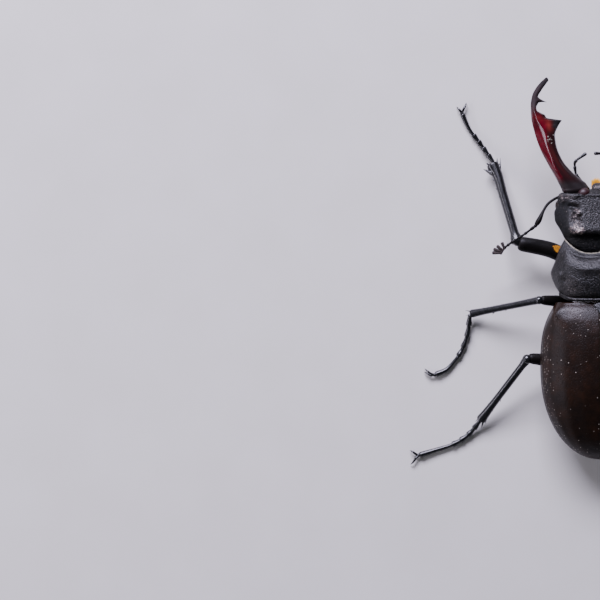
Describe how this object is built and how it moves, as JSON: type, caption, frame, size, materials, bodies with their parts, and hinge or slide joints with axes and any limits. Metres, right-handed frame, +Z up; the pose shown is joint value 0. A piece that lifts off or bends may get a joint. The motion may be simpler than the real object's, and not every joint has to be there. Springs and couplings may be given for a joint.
{
  "type": "stag beetle",
  "caption": "Male stag beetle at life size, standing with its legs spread: antler-like crimson jaws, broad flat head, granular pronotum and dark chestnut wing cases.",
  "frame": {"origin": "on the ground, under the middle of the whole animal, feelers and legs included", "axes": "-Y forwards, past the head and jaws; +X to the beetle's left; +Z up, from the feet to the back"},
  "size_m": [0.0652, 0.0661, 0.013],
  "materials": {
    "granular_black": "fine-grained dull black cuticle with a soft grey sheen",
    "black_cuticle": "smooth black cuticle, satin",
    "leg_black": "glossy black cuticle with cool highlights",
    "wing_case": "very dark chestnut cuticle, satin, finely punctured",
    "crimson_horn": "deep crimson cuticle, glossy, black at the teeth, tips and root",
    "amber_bristle": "dense amber bristles",
    "eye": "dark brown compound eye, glossy"
  },
  "bodies": {
    "root": {"abdomen": "black_cuticle", "antenna_club_left": "black_cuticle", "antenna_club_right": "black_cuticle", "antenna_scape_left": "black_cuticle", "antenna_scape_right": "black_cuticle", "claws_front_left": "leg_black", "claws_front_right": "leg_black", "claws_hind_left": "leg_black", "claws_hind_right": "leg_black", "claws_middle_left": "leg_black", "claws_middle_right": "leg_black", "clypeus": "black_cuticle", "coxa_front_left": "leg_black", "coxa_front_right": "leg_black", "coxa_hind_left": "leg_black", "coxa_hind_right": "leg_black", "coxa_middle_left": "leg_black", "coxa_middle_right": "leg_black", "elytron_left": "wing_case", "elytron_right": "wing_case", "eye_left": "eye", "eye_right": "eye", "femur_front_left": "leg_black", "femur_front_right": "leg_black", "femur_hind_left": "leg_black", "femur_hind_right": "leg_black", "femur_middle_left": "leg_black", "femur_middle_right": "leg_black", "head": "granular_black", "mandible_left": "crimson_horn", "mandible_right": "crimson_horn", "metathorax": "black_cuticle", "mouth_brush": "amber_bristle", "palp_left": "black_cuticle", "palp_right": "black_cuticle", "pronotum": "granular_black", "prosternum": "black_cuticle", "scutellum": "black_cuticle", "tarsus_front_left": "leg_black", "tarsus_front_right": "leg_black", "tarsus_hind_left": "leg_black", "tarsus_hind_right": "leg_black", "tarsus_middle_left": "leg_black", "tarsus_middle_right": "leg_black", "tibia_front_left": "leg_black", "tibia_front_right": "leg_black", "tibia_hind_left": "leg_black", "tibia_hind_right": "leg_black", "tibia_middle_left": "leg_black", "tibia_middle_right": "leg_black"}
  },
  "joints": []
}
